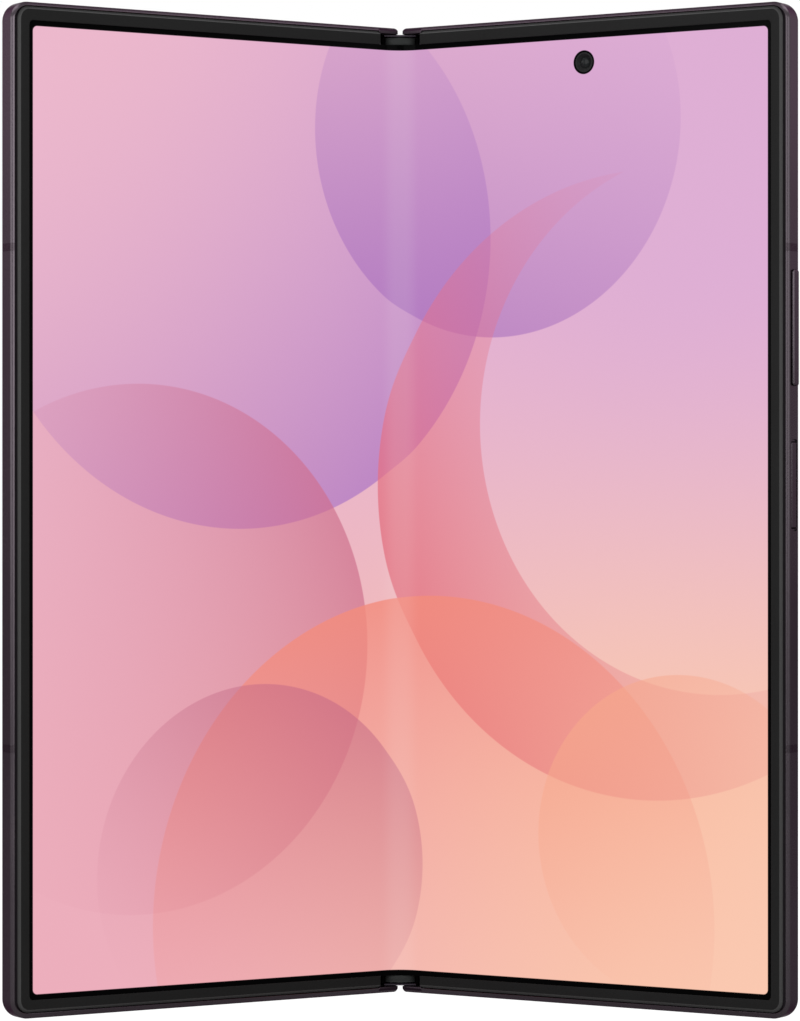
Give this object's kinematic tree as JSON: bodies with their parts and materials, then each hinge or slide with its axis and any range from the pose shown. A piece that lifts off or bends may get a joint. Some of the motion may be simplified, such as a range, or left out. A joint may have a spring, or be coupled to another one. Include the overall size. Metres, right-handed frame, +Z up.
{
  "type": "foldable smartphone",
  "caption": "Book-style folding phone: two thin framed halves on a geared two-axis hinge, with one flexible inner screen, a cover screen, rear cameras, keys, card tray and charging socket.",
  "frame": {"origin": "centre of the footprint, at the level of the bottom edges that the half-open phone stands on", "axes": "+Z up along the fold, +X towards the half with the keys as seen from the inner screen, -Y out of the inner screen towards its user"},
  "size_m": [0.1243, 0.0414, 0.1584],
  "materials": {
    "frame_metal": "satin anodised dark plum",
    "spine_metal": "satin anodised dark plum",
    "bezel_plastic": "fine matte",
    "cap_plastic": "matte",
    "band_plastic": "matte",
    "hinge_steel": "satin",
    "spring_steel": "satin",
    "screw_steel": "dark",
    "screen_film": "gloss",
    "flex_film": "amber film",
    "battery_foil": "foil pouch",
    "circuit_board": "solder mask",
    "rear_glass": "frosted",
    "cover_glass": "gloss",
    "lens_glass": "gloss",
    "black_plastic": "matte",
    "diffuser": "milky",
    "copper": "enamelled"
  },
  "bodies": {
    "hinge_spine": {"spine_cover": "spine_metal", "hinge_end_caps": "cap_plastic", "arc_brackets": "hinge_steel", "gear_brackets": "hinge_steel", "gear_pins": "hinge_steel", "disc_spring_stacks": "spring_steel", "bracket_screws": "screw_steel", "screen_fold_zone": "screen_film", "hinge_flex_cables": "flex_film"},
    "left_half": {"left_frame": "frame_metal", "left_bezel": "bezel_plastic", "left_antenna_bands": "band_plastic", "left_hinge_arms": "hinge_steel", "left_arm_screws": "screw_steel", "left_wing_pins": "screw_steel", "left_screen_panel": "screen_film", "left_battery": "battery_foil", "left_board": "circuit_board", "cover_glass": "cover_glass", "cover_screen": "screen_film", "cover_camera": "black_plastic", "earpiece_speaker": "black_plastic", "card_tray_cage": "hinge_steel"},
    "right_half": {"right_frame": "frame_metal", "right_bezel": "bezel_plastic", "right_antenna_bands": "band_plastic", "right_hinge_arms": "hinge_steel", "right_arm_screws": "screw_steel", "right_wing_pins": "screw_steel", "right_screen_panel": "screen_film", "right_battery": "battery_foil", "main_board": "circuit_board", "board_shields": "hinge_steel", "rear_glass": "rear_glass", "camera_island": "frame_metal", "camera_rings": "black_plastic", "camera_modules": "black_plastic", "camera_windows": "lens_glass", "flash_window": "diffuser", "charging_coil": "copper", "charging_board": "circuit_board", "charging_socket": "hinge_steel", "charging_tongue": "black_plastic", "loudspeaker": "black_plastic", "vibration_motor": "hinge_steel", "inner_camera": "black_plastic", "key_switches": "circuit_board"},
    "left_sync": {"left_sync_arms": "hinge_steel"},
    "right_sync": {"right_sync_arms": "hinge_steel"},
    "left_idler": {"left_idler_gears": "hinge_steel"},
    "right_idler": {"right_idler_gears": "hinge_steel"},
    "left_wing": {"left_wing_plate": "hinge_steel"},
    "right_wing": {"right_wing_plate": "hinge_steel"},
    "tray": {"card_tray": "frame_metal"},
    "ejector_rod": {"ejector_rod": "hinge_steel"},
    "ejector_lever": {"ejector_lever": "hinge_steel"},
    "volume_key": {"volume_key": "frame_metal"},
    "side_key": {"side_key": "frame_metal"}
  },
  "joints": [
    {"name": "left_fold", "type": "hinge", "parent": "hinge_spine", "child": "left_half", "pos_m": [-0.0012, 0.01761, 0.0792], "axis": [0, 0, 1], "range_deg": [-32.3, 57.7], "deforming": ["screen_fold_zone", "hinge_flex_cables"]},
    {"name": "right_fold", "type": "hinge", "parent": "hinge_spine", "child": "right_half", "pos_m": [0.0012, 0.01761, 0.0792], "axis": [0, 0, -1], "range_deg": [-32.3, 57.7]},
    {"name": "left_sync_turn", "type": "hinge", "parent": "hinge_spine", "child": "left_sync", "pos_m": [-0.0018, 0.01869, 0.0792], "axis": [0, 0, 1], "range_deg": [-32.3, 57.7]},
    {"name": "right_sync_turn", "type": "hinge", "parent": "hinge_spine", "child": "right_sync", "pos_m": [0.0018, 0.01869, 0.0792], "axis": [0, 0, -1], "range_deg": [-32.3, 57.7]},
    {"name": "left_idler_turn", "type": "hinge", "parent": "hinge_spine", "child": "left_idler", "pos_m": [-0.0006, 0.01869, 0.0792], "axis": [0, 0, -1], "range_deg": [-32.3, 57.7]},
    {"name": "right_idler_turn", "type": "hinge", "parent": "hinge_spine", "child": "right_idler", "pos_m": [0.0006, 0.01869, 0.0792], "axis": [0, 0, 1], "range_deg": [-32.3, 57.7]},
    {"name": "left_wing_tilt", "type": "hinge", "parent": "left_half", "child": "left_wing", "pos_m": [-0.01143, 0.01171, 0.0792], "axis": [0, 0, 1], "range_deg": [-1.44, 2.57]},
    {"name": "right_wing_tilt", "type": "hinge", "parent": "right_half", "child": "right_wing", "pos_m": [0.01143, 0.01171, 0.0792], "axis": [0, 0, -1], "range_deg": [-1.44, 2.57]},
    {"name": "tray_slide", "type": "slide", "parent": "left_half", "child": "tray", "axis": [0, 0, 1], "range_m": [0, 0.0165]},
    {"name": "ejector_push", "type": "slide", "parent": "left_half", "child": "ejector_rod", "axis": [0, 0, -1], "range_m": [0, 0.0012]},
    {"name": "ejector_lever_turn", "type": "hinge", "parent": "left_half", "child": "ejector_lever", "pos_m": [-0.02216, 0.00623, 0.1401], "axis": [0.5344, -0.8453, 0], "range_deg": [0, 13.3]},
    {"name": "volume_press", "type": "slide", "parent": "right_half", "child": "volume_key", "axis": [-0.8453, 0.5344, 0], "range_m": [0, 0.00025], "stiffness_N_per_m": 2000},
    {"name": "side_press", "type": "slide", "parent": "right_half", "child": "side_key", "axis": [-0.8453, 0.5344, 0], "range_m": [0, 0.00025], "stiffness_N_per_m": 2000}
  ],
  "couplings": [
    {"joint": "right_fold", "follows": "left_fold", "ratio": 1},
    {"joint": "left_sync_turn", "follows": "left_fold", "ratio": 1},
    {"joint": "right_sync_turn", "follows": "left_fold", "ratio": 1},
    {"joint": "left_idler_turn", "follows": "left_fold", "ratio": 1},
    {"joint": "right_idler_turn", "follows": "left_fold", "ratio": 1},
    {"joint": "left_wing_tilt", "follows": "left_fold", "ratio": 0.044444},
    {"joint": "right_wing_tilt", "follows": "left_fold", "ratio": 0.044444},
    {"joint": "ejector_lever_turn", "follows": "ejector_push", "rad_per_m": 192.31}
  ]
}
